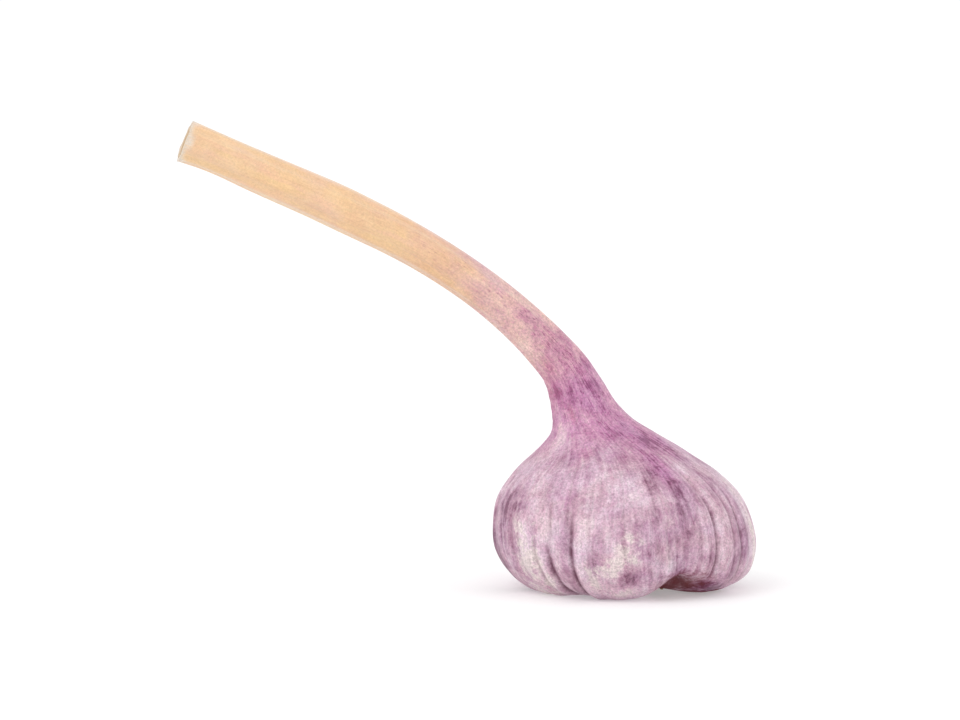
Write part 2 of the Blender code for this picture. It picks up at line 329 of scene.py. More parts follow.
# %% [markdown]
# ## Cloves and folds
#
# Six cloves bulge under the skin, with a valley between each two. The skin dries tight over them and draws
# into folds that run from the root plate up to the neck. A sculptor would press these in with a brush. Here
# each is a formula: how deep it is at its middle, how wide, and where along the skin it starts and ends.
# That keeps the fine skin on the CAD body, which is made by the same formulas.

# %% Soft shapes on the skin
def shown_between(starts, ends, reach):
    """Rises from 0 to 1 in one span of reach, and falls back to 0 in the other."""
    return smooth_step(*starts, reach) * (1 - smooth_step(*ends, reach))


def soft_line(angle, middle, half_width):
    """1 along the middle of a line, and less and less to both sides."""
    return np.exp(-((degrees_between(angle, middle) / half_width) ** 2))


def soft_ovals(ovals, reach, angle):
    """Sum of ovals: angle in degrees, reach, half width in degrees, half length in mm, strength."""
    found = np.zeros_like(reach)
    for middle, reach_middle, half_width, half_length, strength in ovals:
        along = np.exp(-(((reach - reach_middle) / half_length) ** 2))
        found += strength * along * soft_line(angle, middle, half_width)
    return found


print("a line fades like this:", soft_line(np.arange(4.0), 0.0, 1.5).round(2))

# %% Folds of the CAD body
# Spans such as (2.0, 10.0) are the reaches in mm in which something sets in or fades out.
# Valleys: degrees from the front, depth in mm, half width in degrees.
VALLEYS = (
    (-33.0, 1.2, 8.0),
    (27.5, 4.5, 13.5),
    (104.0, 2.6, 9.0),
    (160.0, 3.0, 10.0),
    (212.0, 2.6, 9.0),
    (263.0, 2.2, 9.0),
)
VALLEY_OPENS, VALLEY_CLOSES, VALLEY_TAPER = (2.0, 10.0), (8.0, 62.0), 1.6
BASE_HOLLOW = (28.0, 13.0, 11.0, 6.0, 1.6)  # the hollow under the head, as an oval
# Folds: the strand they follow, in degrees, depth, first and last reach, mm.
FRONT_FOLDS = (
    (-66, 0.2, 8, 36),
    (-55.5, 0.25, 8, 38),
    (-43.6, 0.4, 5, 36),
    (-35.6, 0.55, 5, 36),
    (-27, 0.25, 40, 66),
    (-24.6, 0.6, 5, 42),
    (-13.4, 0.2, 6, 32),
    (19, 0.2, 22, 50),
    (33.5, 0.25, 22, 48),
    (41.5, 0.6, 9, 52),
    (52, 0.3, 24, 50),
    (60, 0.5, 8, 44),
    (70, 0.35, 10, 46),
    (81, 0.3, 10, 46),
)
FOLD_HALF_WIDTH, FOLD_FADE_IN, FOLD_FADE_OUT = 3.0, 6.0, 10.0
# The folds of the back are drawn at random between these limits.
BACK_FOLDS, BACK_FOLD_STEP, BACK_FOLD_DEPTH = (94.0, 286.0), (9.0, 17.0), (0.25, 0.6)
BACK_FOLD_FIRST, BACK_FOLD_LAST, FOLD_SEED = (4.0, 9.0), (34.0, 58.0), 7


def fold_list():
    """The folds of the front, chosen one by one, and those of the back, drawn at random."""
    draw = random.Random(FOLD_SEED)
    folds = list(FRONT_FOLDS)
    angle, last_angle = BACK_FOLDS
    while angle < last_angle:
        depth, first = draw.uniform(*BACK_FOLD_DEPTH), draw.uniform(*BACK_FOLD_FIRST)
        folds.append((angle, depth, first, draw.uniform(*BACK_FOLD_LAST)))
        angle += draw.uniform(*BACK_FOLD_STEP)
    return folds


FOLDS = fold_list()
print("folds round the head:", len(FOLDS))

# %% Relief of the CAD body
FLUTES, FLUTE_HEIGHT, FLUTES_START = 9, 0.14, (52.0, 75.0)
# A slow unevenness, of which the stalk has less.
SWELL_SIZE, SWELL_HEIGHT, SWELL_STARTS, SWELL_WANES, SWELL_LOST = 13.0, 0.35, (0.0, 8.0), (50.0, 70.0), 0.7


def clove_relief(reach, angle, strand):
    opened = smooth_step(*VALLEY_OPENS, reach) * (1 - smooth_step(*VALLEY_CLOSES, reach)) ** VALLEY_TAPER
    height = FLUTE_HEIGHT * smooth_step(*FLUTES_START, reach) * np.cos(np.radians(FLUTES * strand))
    for middle, depth, half_width in VALLEYS:
        height -= depth * opened / (1 + (degrees_between(angle, middle) / half_width) ** 2)
    for middle, depth, first, last in FOLDS:
        shown = shown_between((first, first + FOLD_FADE_IN), (last - FOLD_FADE_OUT, last), reach)
        height -= depth * shown * soft_line(strand, middle, FOLD_HALF_WIDTH)
    return height - soft_ovals([BASE_HOLLOW], reach, angle)


def swell(points, reach):
    raised = smooth_step(*SWELL_STARTS, reach) * (1 - SWELL_LOST * smooth_step(*SWELL_WANES, reach))
    lumps = np.array([noise.noise(Vector(point) / SWELL_SIZE) for point in points])
    return SWELL_HEIGHT * raised * lumps


print("deepest valley, mm:", max(depth for _, depth, _ in VALLEYS))

# %% [markdown]
# ## The fine lines of the skin
#
# What makes dry garlic look dry is finer than the CAD body: a sharp crease along the bottom of each fold,
# dozens of thin veins that stand out between them, pleats where the neck was wrung thin, and crosswise
# wrinkles inside the bend. They all follow the same slightly wandering strands, so the wander is one
# function that the shapes and later the colours share.

# %% Strands
# The wander: waves to a turn, mm of reach to a radian, degrees. Then the reach in which it sets in.
WANDER_WAVES, WANDER_STARTS = ((2, 11.0, 1.3), (5, -6.5, 0.8)), (4.0, 14.0)
TWIST, TWIST_SPAN = 14.0, (55.0, 150.0)


def strand_angle(reach, angle):
    """The angle with a slow wander and a slight twist, so that no line is dead straight."""
    turn = np.radians(angle)
    wander = sum(size * np.sin(waves * turn + reach / run) for waves, run, size in WANDER_WAVES)
    return angle + wander * smooth_step(*WANDER_STARTS, reach) + TWIST * smooth_step(*TWIST_SPAN, reach)


print("most that a strand twists, degrees:", TWIST)

# %% Creases and veins
# Creases: the strand they follow, half width in degrees, first and last reach in mm, strength.
FRONT_CREASES = (
    (-78, 0.7, 12, 36, 0.5),
    (-72, 0.8, 14, 34, 0.6),
    (-66, 0.5, 18, 38, 0.3),
    (-52.5, 0.6, 24, 38, 0.4),
    (-43.6, 0.9, 12, 34, 0.6),
    (-36.4, 1.1, 0, 32, 1),
    (-34.6, 0.6, 25, 42, 0.6),
    (-29, 0.6, 2, 24, 0.6),
    (-26.6, 0.7, 24, 54, 0.4),
    (-24.6, 1.1, 0, 38, 1),
    (-14, 0.6, 18, 34, 0.4),
    (9.5, 0.5, 16, 32, 0.3),
    (14, 0.5, 30, 52, 0.4),
    (17.5, 0.6, 20, 36, 0.5),
    (21.5, 0.5, 18, 34, 0.6),
    (27.5, 0.6, 28, 50, 0.5),
    (33.5, 0.6, 20, 38, 0.4),
    (38, 0.5, 18, 34, 0.5),
    (41.8, 0.8, 16, 44, 0.9),
    (41.8, 0.6, 36, 58, 0.4),
    (53, 0.7, 14, 44, 0.6),
    (60, 0.9, 12, 44, 0.7),
    (66, 0.7, 14, 40, 0.5),
)
LINE_FADE = 8.0  # length over which a line fades at each end, mm


def line_list(count, seed, widths, reaches, lengths):
    """Lines at random angles: (degrees, half width in degrees, first and last reach, strength)."""
    draw = random.Random(seed)
    lines = []
    for number in range(count):
        angle = 360.0 * (number + draw.uniform(-0.45, 0.45)) / count
        first = draw.uniform(*reaches)
        last = first + draw.uniform(*lengths)
        lines.append((angle, draw.uniform(*widths), first, last, draw.uniform(0.3, 1.0)))
    return lines


def lines_at(lines, reach, strand):
    """How strongly each point lies on one of the lines, 0 to 1."""
    found = np.zeros_like(reach)
    for middle, half_width, first, last, strength in lines:
        shown = shown_between((first, first + LINE_FADE), (last - LINE_FADE, last), reach)
        found = np.maximum(found, strength * shown * soft_line(strand, middle, half_width))
    return found


back_folds = FOLDS[len(FRONT_FOLDS) :]
faint_lines = line_list(30, 11, (0.6, 1.0), (4.0, 34.0), (16.0, 34.0))
CREASES = list(FRONT_CREASES)
CREASES += [(angle, 1.0, first, last, depth) for angle, depth, first, last in back_folds]
CREASES += [(*line, 0.35 * strength) for *line, strength in faint_lines]
VEINS = line_list(150, 5, (0.45, 0.9), (8.0, 40.0), (20.0, 60.0))
STALK_LINES = line_list(40, 23, (2.5, 4.5), (50.0, 120.0), (30.0, 90.0))
print("creases, veins and stalk lines:", len(CREASES), len(VEINS), len(STALK_LINES))

# %% Fine relief
CREASE_DEPTH, VEIN_HEIGHT, STALK_LINE_DEPTH = 0.26, 0.06, 0.06
PLEATS, PLEAT_HEIGHT, PLEATS_START, PLEATS_END = 17, 0.07, (40.0, 52.0), (66.0, 92.0)
WRINKLE_PITCH = 2.618  # mm
WRINKLES = (-90.0, 71.0, 55.0, 6.0, 0.05)  # an oval inside the bend, with their height


def fine_relief(reach, angle, strand, creases, veins):
    height = -CREASE_DEPTH * creases + VEIN_HEIGHT * veins
    height -= STALK_LINE_DEPTH * lines_at(STALK_LINES, reach, strand)
    pleats = np.sin(np.radians(PLEATS * strand) + 2.0 * np.sin(np.radians(3 * strand)))
    height += PLEAT_HEIGHT * shown_between(PLEATS_START, PLEATS_END, reach) * pleats
    wrinkles = np.sin(math.tau * reach / WRINKLE_PITCH + np.radians(2 * angle))
    return height + soft_ovals([WRINKLES], reach, angle) * wrinkles


print("deepest fine line, mm:", CREASE_DEPTH)

# %% [markdown]
# ## The skin as a mesh
#
# The blank is a can: one upright line of points is spun into a full turn, and each point keeps its ring's
# number in its height. Every point is then carried to its place on the skin. Rings are close together on
# the head, where the folds are, and wider apart on the stalk.

# %% Spin the blank
SIDES = 400
FRONT_CROWDING = 22.0  # degrees by which points crowd to the front, where the creases are finest
HEAD_STEP, STALK_STEP, HEAD_END = 0.52, 1.02, 66.0
ROOT_PLATE_SHARES = (0.0, 0.92)
ROOT_PLATE_HEIGHT = 2.4
# The cut end, from the sheath's rim inwards: share of the radius, and how far it is sunk, mm.
CUT_FACE = ((0.93, -0.1), (0.88, 0.5), (0.84, 1.5), (0.0, 1.5))

head_rings = np.linspace(0.0, HEAD_END, round(HEAD_END / HEAD_STEP), endpoint=False)
stalk_rings = np.linspace(HEAD_END, END_REACH, round((END_REACH - HEAD_END) / STALK_STEP))
REACHES = np.concatenate([head_rings, stalk_rings])


def turned(profile, sides):
    """A profile of (distance from the axis, height) pairs spun into a closed shape, a pole at each end."""
    shape = bmesh.new()
    line = [shape.verts.new((distance, 0.0, height)) for distance, height in profile]
    edges = [shape.edges.new(pair) for pair in zip(line, line[1:])]
    turn = {"axis": (0, 0, 1), "angle": math.tau, "steps": sides, "use_merge": True}
    bmesh.ops.spin(shape, geom=line + edges, **turn)
    bmesh.ops.remove_doubles(shape, verts=shape.verts, dist=1e-4)
    bmesh.ops.recalc_face_normals(shape, faces=shape.faces)
    return shape


rings = len(ROOT_PLATE_SHARES) + len(REACHES) + len(CUT_FACE)
can = turned([(float(0 < ring < rings - 1), ring) for ring in range(rings)], SIDES)
blank = np.array([vertex.co for vertex in can.verts])
print("rings, faces:", len(REACHES), len(can.faces))

# %% Carry the points to the skin
FIRST_RING = len(ROOT_PLATE_SHARES)
LAST_RING = FIRST_RING + len(REACHES) - 1

ring = np.rint(blank[:, 2]).astype(int)
turn = np.arctan2(blank[:, 0], -blank[:, 1])
angle = np.degrees(turn) - FRONT_CROWDING * np.sin(turn)
reach = REACHES[np.clip(ring, FIRST_RING, LAST_RING) - FIRST_RING]
strand = strand_angle(reach, angle)
creases = lines_at(CREASES, reach, strand)
veins = lines_at(VEINS, reach, strand)
plain = smooth_skin(reach, angle)
height = clove_relief(reach, angle, strand) + swell(plain, reach)
height += fine_relief(reach, angle, strand, creases, veins)
points = plain + height[:, None] * skin_normal(reach, angle)
print("relief from", height.min().round(2), "to", height.max().round(2), "mm")

# %% [markdown]
# The sheath's rim at the cut is a thin dry edge that curls out a little, and a knife never leaves it level.
# Inside the rim the skin turns down into the stalk, where the cut end will sit.

# %% Trim the rim and stand the head
# Cloves: degrees from the front of the middle, and how high the lowest point is, mm.
CLOVES = ((0.5, 0.0), (69.0, 0.3), (132.0, 0.0), (186.0, 0.1), (237.5, 0.0), (295.0, 0.0))
FOOT_SPAN, FOOT_STARTS, FOOT_ENDS = 18.0, (0.0, 8.0), (14.0, 34.0)  # degrees to each side, reaches in mm
FLAT_DEPTH = 0.4  # how far the low points are pressed flat, mm
RIM_LENGTH, RIM_SUNK = 2.0, 0.2
RIM_WAVES = ((2, 0.07, 0.6), (5, 0.05, 2.0), (11, 0.03, 0.0))  # waves to a turn, mm, phase


def let_down(points, reach, angle):
    """Lowers or lifts each clove until its lowest point is as high as CLOVES says."""
    middles = [middle for middle, _ in CLOVES]
    lifts = []
    for middle, height in CLOVES:
        foot = np.abs(degrees_between(angle, middle)) < FOOT_SPAN
        lifts.append(height - points[foot, 2].min())
    share = shown_between(FOOT_STARTS, FOOT_ENDS, reach)
    points[:, 2] += share * np.interp(angle, middles, lifts, period=360.0)


ring_middle, _, _, ring_normal = ring_axes(reach)
for number, (share, sunk) in enumerate(CUT_FACE, start=LAST_RING + 1):
    here = ring == number
    inset = ring_middle[here] + share * (points[here] - ring_middle[here])
    points[here] = inset - sunk * ring_normal[here]
near_rim = smooth_step(END_REACH - RIM_LENGTH, END_REACH, reach) * (ring <= LAST_RING + 1)
uneven = sum(size * np.sin(waves * np.radians(angle) + phase) for waves, size, phase in RIM_WAVES)
points += (near_rim * (uneven - RIM_SUNK))[:, None] * ring_normal
lowest = points[:, 2].min()
points[:, 2] -= lowest
let_down(points, reach, angle)
points[:, 2] = np.maximum(points[:, 2] - FLAT_DEPTH, 0.0)
for number, share in enumerate(ROOT_PLATE_SHARES):
    here = ring == number
    points[here] *= [share, share, 0.0]
    points[here] += [0.0, 0.0, ROOT_PLATE_HEIGHT]
shift = np.array(BULB_MIDDLE) / MM - (points.min(axis=0) + points.max(axis=0)) / 2
shift[2] = 0.0
points += shift
ROOT_MIDDLE = Vector(shift)
STALK_SHIFT = shift - np.array([0.0, 0.0, lowest + FLAT_DEPTH])
print("root plate's middle, mm:", shift.round(2), "top, mm:", points[:, 2].max().round(2))

# %% [markdown]
# ## What the colours need to know
#
# The wrapper leaves are white paper that holds a purple pigment, dense at the neck and thin on the cloves.
# So the skin's colour is mostly one number, the density of the pigment, and it is painted on the points:
# first along the skin, then in soft ovals for the bruises and the pale windows, and in a purple tongue on
# the bend. The material later adds the mottling to the same number, which breaks up every edge.

# %% Pigment along the skin
#    reach in mm, density of the pigment there from 0 to 1
PIGMENT = (
    (0.0, 0.55),
    (12.0, 0.50),
    (20.0, 0.46),
    (30.0, 0.46),
    (40.0, 0.46),
    (48.0, 0.50),
    (55.0, 0.62),
    (62.0, 0.70),
    (70.0, 0.54),
    (80.0, 0.26),
    (92.0, 0.24),
    (104.0, 0.36),
    (114.0, 0.38),
    (126.0, 0.30),
    (END_REACH, 0.26),
)
# The tongue on the bend: its strand, the half width of its tip and how it widens from there, in degrees
# and degrees to a mm, and the reach of the tip in mm.
TONGUE_MIDDLE, TONGUE_TIP_WIDTH, TONGUE_WIDENS, TONGUE_TIP = 34.0, 12.0, 3.0, 94.0
TONGUE_STARTS, TONGUE_ENDS, TONGUE_STRENGTH = (64.0, 74.0), (84.0, 102.0), 0.42
DASHES_MIDDLE, DASHES_HALF_WIDTH = 30.0, 26.0
NECK_DASHES, BEND_DASHES = ((52.0, 66.0), (74.0, 90.0)), ((74.0, 88.0), (112.0, 142.0))


def purple_tongue(reach, strand):
    """The purple that runs up the bend as a narrowing tongue, a little above its middle."""
    half_width = TONGUE_TIP_WIDTH + TONGUE_WIDENS * np.maximum(TONGUE_TIP - reach, 0.0)
    shown = shown_between(TONGUE_STARTS, TONGUE_ENDS, reach)
    return TONGUE_STRENGTH * shown * soft_line(strand, TONGUE_MIDDLE, half_width)


def dashes_along(reach, strand):
    """Where the pigment gathers in short dark dashes: most in the neck, some along the upper bend."""
    upper = soft_line(strand, DASHES_MIDDLE, DASHES_HALF_WIDTH)
    necked = shown_between(*NECK_DASHES, reach) * (0.4 + 0.6 * upper)
    return 0.25 + 0.75 * necked + shown_between(*BEND_DASHES, reach) * (0.2 + 0.9 * upper)


print("pigment is densest at reach, mm:", max(PIGMENT, key=lambda row: row[1])[0])

# %% Patches
#    strand, reach, half width, half length, change of density
DENSITY_PATCHES = (
    (1.2, 22, 4.2, 2.6, 0.6),  # bruise low on the front clove
    (7, 33.5, 7, 2, 0.16),
    (-41, 34, 3, 3.5, 0.24),
    (-27.8, 31, 2, 8, 0.24),
    (-24, 22.5, 2.6, 3.5, 0.14),
    (-80, 24, 10, 12, 0.5),
    (-62, 36, 13, 5, 0.42),
    (-50, 36.5, 4.5, 3, 0.36),
    (-58, 42.5, 14, 3, -0.18),
    (-78, 25, 8, 6, 0.2),
    (44, 35, 4, 4, 0.14),
    (42, 23, 6, 3, 0.12),
    (-36, 34, 3, 8, -0.14),
    (0.7, 63.4, 8, 3, -0.24),
    (-66, 34, 8, 3, 0.14),
    (-78, 41, 6, 4, -0.18),
    (-43, 38.5, 3, 4, -0.12),
    (-17, 32, 3, 3, -0.28),
    (-11.5, 26.6, 3.6, 2.8, 0.3),
    (-9, 30.5, 3, 1.8, -0.1),
    (-58, 27, 5, 6, 0.2),
    (7.5, 38, 8, 4.5, -0.16),
    (17, 43.2, 5, 4, 0.34),
    (11, 49, 4, 3, -0.14),
    (30.5, 39.5, 4, 4, 0.12),
    (54, 46, 10, 4, 0.1),
    (11, 29, 4, 5, 0.12),
    (47, 17, 9, 3, 0.5),  # under the right clove
    (28, 21, 9, 3, 0.16),
    (50, 62, 16, 4, 0.16),
    (34.5, 40, 4, 4, 0.14),
    (22, 40, 4, 3.5, -0.26),
    (26, 30.5, 6, 4.5, 0.28),
    (4.5, 32.5, 4, 2.5, 0.14),
    (-8, 53, 14, 4, 0.12),
    (66, 50, 10, 6, 0.16),
    (-33, 29, 3, 6, -0.16),
    (54, 26, 4, 9, 0.26),  # bluish band on the right clove
    (64, 31, 4, 8, 0.2),
    (50, 14.5, 10, 3.5, 0.22),
    (23, 33.5, 6, 9, 0.22),
    (8, 31.2, 6, 3.2, 0.22),
    (54, 40, 12, 7, 0.1),
    (27, 43.5, 6, 6.5, 0.26),  # from the neck down to the right shoulder
    (32, 51, 14, 6, 0.2),
    (33, 66, 5, 6, 0.16),
    (40, 70, 8, 3.5, -0.16),
    (48, 74.5, 8, 3, -0.12),
    (56, 56.5, 12, 4, 0.16),
    (63, 68, 8, 4, -0.16),
    (52, 55, 14, 5, 0.22),
    (74, 66, 16, 12, -0.24),
    (-43, 72.5, 12, 3.5, 0.4),  # inside the bend
    (-49, 31, 3.6, 7, -0.32),  # pale windows on the left clove
    (-42, 23.5, 3.6, 7, -0.5),
    (-48, 30, 4.5, 4.5, -0.3),
    (-33, 26, 2.5, 4, -0.16),
    (17, 25, 4, 2.5, -0.2),
    (-52, 17, 13, 5, -0.26),
    (-40, 29, 2.4, 6, -0.2),
    (-20.5, 29, 2, 7, -0.2),
    (-19, 23, 4, 4, -0.26),
    (2.5, 29, 4.5, 3.2, -0.24),
    (-7, 24.5, 6, 2.5, -0.2),
    (-8, 18.5, 9, 2, -0.2),
    (0, 44, 14, 5, -0.08),  # pale band on the front
    (-12, 48, 8, 4, -0.1),
    (-40, 41, 10, 5, -0.14),
    (24, 71, 8, 5, -0.22),
    (42.5, 44, 3, 7, -0.14),
    (45, 23.5, 3.5, 6, -0.36),
    (45.5, 40, 2.4, 12, -0.24),
    (75, 28, 5, 14, -0.34),
    (86, 38, 8, 8, -0.2),
    (-52, 62, 9, 7, -0.44),  # pale strip on the left of the neck
)
# The same for three tints, with the strength of the tint last.
CREAM_PATCHES = (
    (-50, 28.5, 5.6, 8, 0.9),
    (-43, 29.5, 2.2, 5, 0.7),
    (-56, 17, 14, 6, 0.9),
    (-42, 21.5, 3, 4.5, 0.7),
    (-32, 22, 2, 4, 0.5),
    (-16, 22.5, 3.6, 4, 0.8),
    (2, 28.8, 5, 3.2, 1.5),
    (-7, 24.5, 5, 2.6, 0.9),
    (-4, 17.5, 12, 3, 0.5),
    (20, 36, 5, 5, 0.4),
    (45, 23, 3.5, 5, 0.5),
    (76, 28, 5, 16, 0.7),
)
RUDDY_PATCHES = (
    (-62, 73, 32, 5, 0.8),
    (-22, 66, 5, 2.5, 0.7),
    (-30, 79, 12, 4, 0.4),
)
MAGENTA_PATCHES = (
    (30, 49, 9, 8, 0.6),
    (55, 57, 14, 5, 0.5),
    (-26, 40, 3, 10, 0.4),
)
# Painted shade under the head, deep in the hollow and as a shadow low under the right clove: degrees, half
# width, how high the painted shade reaches in mm.
PAINTED_SHADES = ((28.5, 16.0, 9.6), (52.0, 26.0, 1.8))
PLATE_STAIN = (2.0, 9.0, 0.5)  # round the root plate: fades between these reaches in mm, strength
# Where each colour takes over along the skin, reach in mm.
MAGENTA_STARTS, PEACH_STARTS, STRAW_STARTS = (42.0, 66.0), (68.0, 86.0), (82.0, 130.0)
BROWN_AND_SHADE_ENDS, RIM_STARTS = 40.0, (END_REACH - 1.7, END_REACH - 0.3)


def brown_and_painted_shade(points, reach, angle):
    """Brown skin round the root plate, with painted shade deep in the hollow under the head and a painted
    shadow low under the right clove.
    """
    first, last, strength = PLATE_STAIN
    found = strength * (1 - smooth_step(first, last, reach))
    for middle, half_width, top in PAINTED_SHADES:
        across = np.exp(-((degrees_between(angle, middle) / half_width) ** 4))
        found = np.maximum(found, across * (1 - smooth_step(0.2 * top, top, points[:, 2])))
    return found * (reach < BROWN_AND_SHADE_ENDS)


density = np.interp(reach, *np.array(PIGMENT).T) + soft_ovals(DENSITY_PATCHES, reach, strand)
magenta = 0.9 * smooth_step(*MAGENTA_STARTS, reach) + soft_ovals(MAGENTA_PATCHES, reach, strand)
frayed_reach = reach + 0.5 * np.sin(np.radians(5 * strand))
masks = {
    "pigment": density + purple_tongue(reach, strand),
    "dashes": dashes_along(reach, strand),
    "magenta": magenta,
    "ruddy": soft_ovals(RUDDY_PATCHES, reach, strand),
    "peach": smooth_step(*PEACH_STARTS, reach),
    "straw": smooth_step(*STRAW_STARTS, reach + 5.0 * np.cos(np.radians(strand + 60.0))),
    "cream": soft_ovals(CREAM_PATCHES, reach, strand),
    "rim": smooth_step(*RIM_STARTS, frayed_reach),
    # brown round the root plate, and painted shade in the hollow and low under the right clove
    "brown_and_shade": brown_and_painted_shade(points, reach, angle),
    # purple pigment and painted shade along the creases
    "crease_pigment_and_shade": creases,
    "vein": veins,
}
print("most of each mask:", {name: round(float(values.max()), 2) for name, values in masks.items()})

# %% The skin piece
def set_float(mesh, name, values):
    layer = mesh.attributes.new(name, "FLOAT", "POINT")
    layer.data.foreach_set("value", np.asarray(values, np.float32))


def finished_piece(name, shape, points):
    """A bmesh carried to its points, in mm, and made an object that rides on the CAD body."""
    for vertex, point in zip(shape.verts, points):
        vertex.co = Vector(point) * MM
    mesh = bpy.data.meshes.new(name)
    shape.to_mesh(mesh)
    shape.free()
    mesh.shade_smooth()
    piece = bpy.data.objects.new(name, mesh)
    bpy.context.scene.collection.objects.link(piece)
    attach(piece, "root")
    return piece


def triangles(piece):
    return sum(len(face.vertices) - 2 for face in piece.data.polygons)


skin = finished_piece("garlic_skin", can, points)
for name, values in masks.items():
    set_float(skin.data, name, values)
# The strand as a point on a circle, so that the streaks have no seam, and the reach.
flow = np.stack([np.cos(np.radians(strand)), np.sin(np.radians(strand)), reach], axis=1)
layer = skin.data.attributes.new("flow", "FLOAT_VECTOR", "POINT")
layer.data.foreach_set("vector", flow.astype(np.float32).ravel())
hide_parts("garlic_bulb")
print("skin triangles:", triangles(skin))

# %% [markdown]
# ## Effects that are placed more than once
#
# Every part of this plant dries unevenly, so all of it is mottled. One node group gives clouds that carry
# detail down to a fine grain, and each material places it with its own sizes. That makes the skin, the cut
# end and the roots look related. The skin also shows fibres of many widths, which run along its strands.
# The other group gives these streaks, and the skin places it once for each width.

# %% Group helpers
def new_group(name, inputs, output):
    """A node group with float inputs, a vector called Where, and one float output."""
    group = bpy.data.node_groups.new(name, "ShaderNodeTree")
    group.interface.new_socket(name="Where", in_out="INPUT", socket_type="NodeSocketVector")
    for label, value in inputs.items():
        socket = group.interface.new_socket(name=label, in_out="INPUT", socket_type="NodeSocketFloat")
        socket.default_value = value
    group.interface.new_socket(name=output, in_out="OUTPUT", socket_type="NodeSocketFloat")
    return group, group.nodes.new("NodeGroupInput").outputs, group.nodes.new("NodeGroupOutput").inputs


def effect(group, where, **values):
    """Places a group and gives back its output."""
    sockets = {"Where": where, **{name.capitalize(): value for name, value in values.items()}}
    return add_node(tree_of(where), "ShaderNodeGroup", sockets, node_tree=group).outputs[0]


def scaled(value, gain, middle=0.5):
    """A value made to swing round nought: (value - middle) * gain."""
    return product(maths("SUBTRACT", value, middle), gain)


def total(*values):
    """The sum of several values."""
    result = values[0]
    for value in values[1:]:
        result = maths("ADD", result, value)
    return result


def colour_ramp(value, stops):
    """A ramp through (place, colour on screen) pairs."""
    ramp = add_node(tree_of(value), "ShaderNodeValToRGB", {0: value})
    elements = ramp.color_ramp.elements
    while len(elements) < len(stops):
        elements.new(0.5)
    for element, (place, colour) in zip(elements, stops):
        element.position, element.color = place, srgb(*colour)
    return ramp.outputs[0]


print("helpers for groups are ready")

# %% Streaks and clouds
controls = {"Around": 30.0, "Along": 0.1, "Offset": 0.0, "Low": 0.3, "High": 0.7}
STREAKS, given, put = new_group("streaks", controls, "Streak")
stretch = {0: given["Around"], 1: given["Around"], 2: given["Along"]}
stretch = add_node(STREAKS, "ShaderNodeCombineXYZ", stretch).outputs[0]
place = {0: given["Where"], 1: stretch, 2: given["Offset"]}
place = add_node(STREAKS, "ShaderNodeVectorMath", place, operation="MULTIPLY_ADD").outputs[0]
fibres = add_node(STREAKS, "ShaderNodeTexNoise", {"Vector": place, "Scale": 1.0, "Detail": 3.0})
STREAKS.links.new(between(fibres.outputs[0], given["Low"], given["High"]), put["Streak"])

controls = {"Size": 8.0, "Roughness": 0.6, "Low": 0.3, "High": 0.7}
CLOUDS, given, put = new_group("clouds", controls, "Cloud")
scale = maths("DIVIDE", 1.0, given["Size"])
patchy = {"Vector": given["Where"], "Scale": scale, "Roughness": given["Roughness"]}
patchy = add_node(CLOUDS, "ShaderNodeTexNoise", {**patchy, "Detail": 5.0, "Distortion": 0.3})
CLOUDS.links.new(between(patchy.outputs[0], given["Low"], given["High"]), put["Cloud"])
print("shared effects:", [group.name for group in bpy.data.node_groups])

# %% [markdown]
# ## The finish of the skin
#
# One colour ramp turns the density of the pigment into a colour, from paper white through lilac to dark
# purple. There are four such ramps, because the pigment is bluish on the cloves, magenta at the neck,
# rosier on the bend and almost gone on the straw of the stalk. The density that goes in is the painted one
# plus mottling at every size from a few millimetres down to the grain, plus streaks along the strands.
# Creases gather pigment and shade, so a dark purple that is part pigment and part painted shade is laid
# along them afterwards.

# %% Density of the pigment
STALK_STARTS, HEAD_ENDS = (86.0, 116.0), (20.0, 44.0)

skin_finish, tree, shader = new_finish("garlic_skin")
strands = painted(tree, "flow", "Vector")
skin_reach = add_node(tree, "ShaderNodeSeparateXYZ", {0: strands}).outputs[2]
millimetres = in_millimetres(tree)
mottle = effect(CLOUDS, millimetres, size=5.0, roughness=0.8, low=0.25, high=0.75)
blotch = effect(CLOUDS, millimetres, size=11.0, roughness=0.55, low=0.25, high=0.75)
grain = effect(CLOUDS, millimetres, size=0.48, roughness=0.85, low=0.2, high=0.8)
specks = effect(CLOUDS, millimetres, size=1.3, roughness=0.6, low=0.60, high=0.72)
broad = effect(STREAKS, strands, around=9.0, along=0.09)
fine = effect(STREAKS, strands, around=24.0, along=0.16, offset=7.0)
fibres = effect(STREAKS, strands, around=60.0, along=0.4, offset=11.0)
dashes = effect(STREAKS, strands, around=26.0, along=0.6, offset=19.0, low=0.56, high=0.68)
off_stalk = between(skin_reach, *STALK_STARTS, 1.0, 0.32)
streaky = between(skin_reach, *HEAD_ENDS, 0.28, 0.12)
clouded = total(scaled(mottle, 0.62), scaled(blotch, 0.22), scaled(grain, 0.14), scaled(specks, 0.18, 0.1))
threaded = total(scaled(fine, 0.19), scaled(fibres, 0.14))
density = total(
    painted(tree, "pigment"),
    product(total(clouded, threaded), off_stalk),
    product(scaled(broad, 1.0), streaky),
    product(dashes, product(painted(tree, "dashes"), 0.34)),
    product(painted(tree, "vein"), -0.18),
)
print("nodes for the density:", len(tree.nodes))

